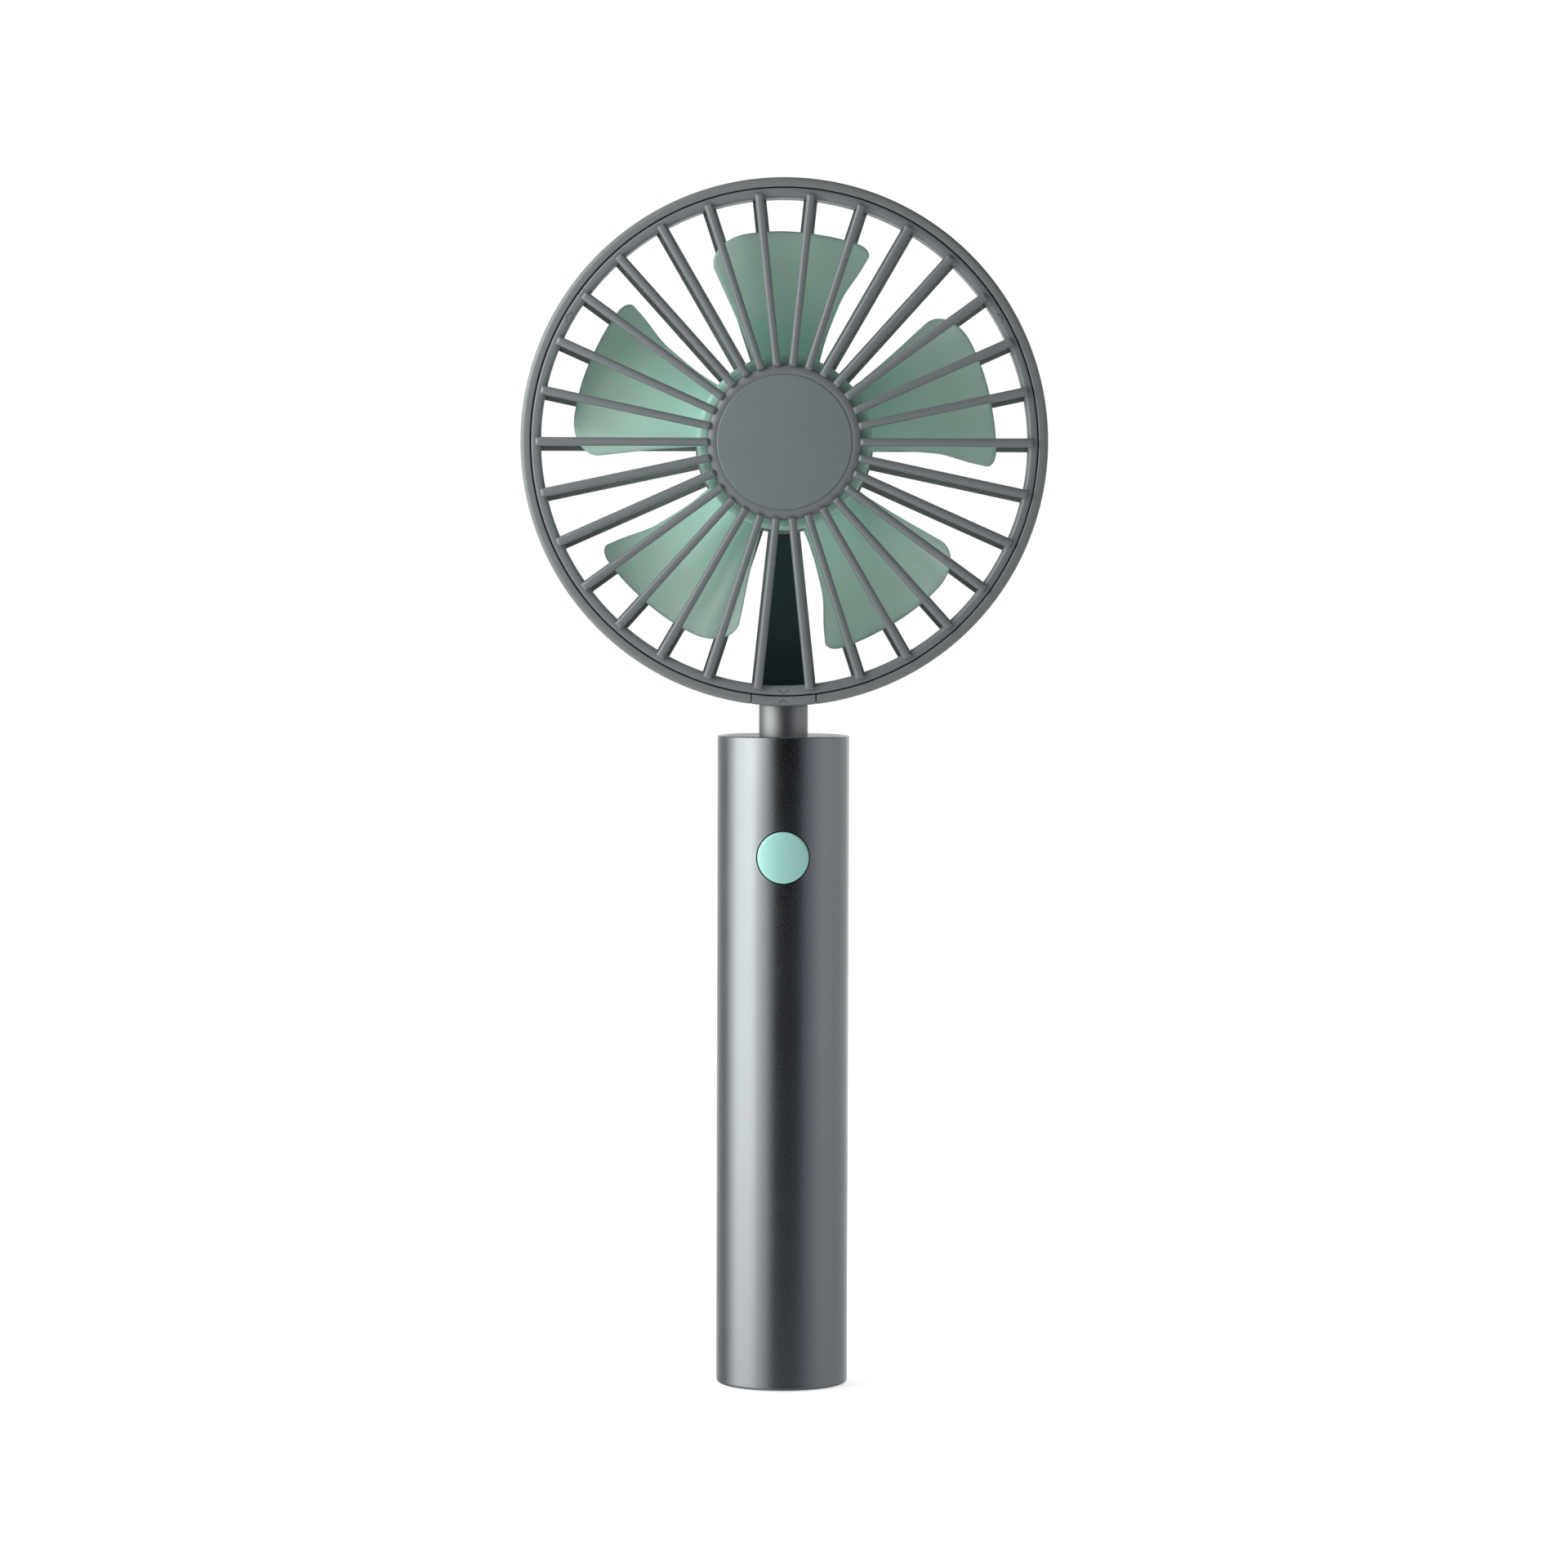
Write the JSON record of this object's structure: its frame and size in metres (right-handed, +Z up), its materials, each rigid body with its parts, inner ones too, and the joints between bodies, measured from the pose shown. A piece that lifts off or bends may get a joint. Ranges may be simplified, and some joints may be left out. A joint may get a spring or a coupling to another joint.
{
  "type": "handheld electric fan",
  "caption": "Handheld electric fan with a round ribbed cage on a short neck, a tilting head, a tube handle with a push button and a rechargeable cell inside.",
  "frame": {"origin": "centre of the handle's flat bottom face", "axes": "+Z up along the handle to the head; the fan faces and blows towards -Y; +X is to the right of a viewer in front"},
  "size_m": [0.087, 0.0226, 0.2007],
  "materials": {
    "anodised_tube": "satin dark blue-grey metallic finish on aluminium tube, fine grain",
    "grey_plastic": "satin grey ABS, fine moulded grain",
    "dark_plastic": "near-black moulded ABS",
    "mint_plastic": "satin mint-green ABS",
    "sage_plastic": "satin sage-green polypropylene, slightly translucent",
    "neck_metal": "satin turned aluminium",
    "steel": "plain turned or stamped steel",
    "brass": "turned brass",
    "copper": null,
    "nickel": "nickel strip",
    "circuit_board": "green solder mask on glass-epoxy",
    "chip_black": "black moulded package",
    "ferrite": "sintered ferrite",
    "cell_wrap": "shrink wrap on a cylindrical cell",
    "foam": "closed-cell foam",
    "wire_red": "PVC insulation",
    "wire_black": "PVC insulation",
    "white_plastic": "natural nylon",
    "light_guide": "clear acrylic",
    "stator_steel": "stacked silicon-steel laminations"
  },
  "bodies": {
    "handle": {"handle_tube": "anodised_tube", "handle_top_cap": "grey_plastic", "handle_bottom_cap": "dark_plastic", "battery_foam_pad": "foam", "battery_cell": "cell_wrap", "battery_strip_negative": "nickel", "battery_strip_positive": "nickel", "board_carrier": "dark_plastic", "control_board": "circuit_board", "motor_driver_chip": "chip_black", "boost_inductor": "ferrite", "charger_chip": "chip_black", "motor_lead_socket": "white_plastic", "switch_body": "chip_black", "switch_dome": "steel", "charging_socket": "steel", "charge_lamp": "white_plastic", "lamp_light_guide": "light_guide", "neck_tube": "neck_metal", "neck_nut": "brass", "motor_lead_red": "wire_red", "motor_lead_black": "wire_black", "hinge_block": "grey_plastic", "hinge_pin": "steel"},
    "button": {"button_cap": "mint_plastic", "switch_plunger": "dark_plastic"},
    "head": {"rear_cage": "grey_plastic", "lead_cover": "dark_plastic", "rear_hub_cap": "grey_plastic", "motor_base": "steel", "bearing_tube": "brass", "bearing_front": "steel", "bearing_rear": "steel", "motor_screw_1": "steel", "motor_screw_2": "steel", "motor_screw_3": "steel", "motor_board": "circuit_board", "stator_core": "stator_steel", "motor_coil_1": "copper", "motor_coil_2": "copper", "motor_coil_3": "copper", "motor_coil_4": "copper", "hall_sensor": "chip_black", "head_lead_red": "wire_red", "head_lead_black": "wire_black"},
    "rotor": {"impeller": "sage_plastic", "rotor_yoke": "steel", "magnet_ring": "ferrite", "motor_shaft": "steel", "shaft_clip": "steel"},
    "grille": {"front_grille": "grey_plastic", "grille_badge": "grey_plastic"}
  },
  "joints": [
    {"name": "button_press", "type": "slide", "parent": "handle", "child": "button", "axis": [0, 1, 0], "range_m": [0, 0.0005], "stiffness_N_per_m": 900},
    {"name": "head_tilt", "type": "hinge", "parent": "handle", "child": "head", "pos_m": [0, 0.0072, 0.1159], "axis": [-1, 0, 0], "range_deg": [0, 90]},
    {"name": "rotor_spin", "type": "hinge", "parent": "head", "child": "rotor", "pos_m": [0, 0, 0.15725], "axis": [0, 1, 0], "continuous": true},
    {"name": "grille_pull", "type": "slide", "parent": "head", "child": "grille", "axis": [0, -1, 0], "range_m": [0, 0.03]}
  ]
}
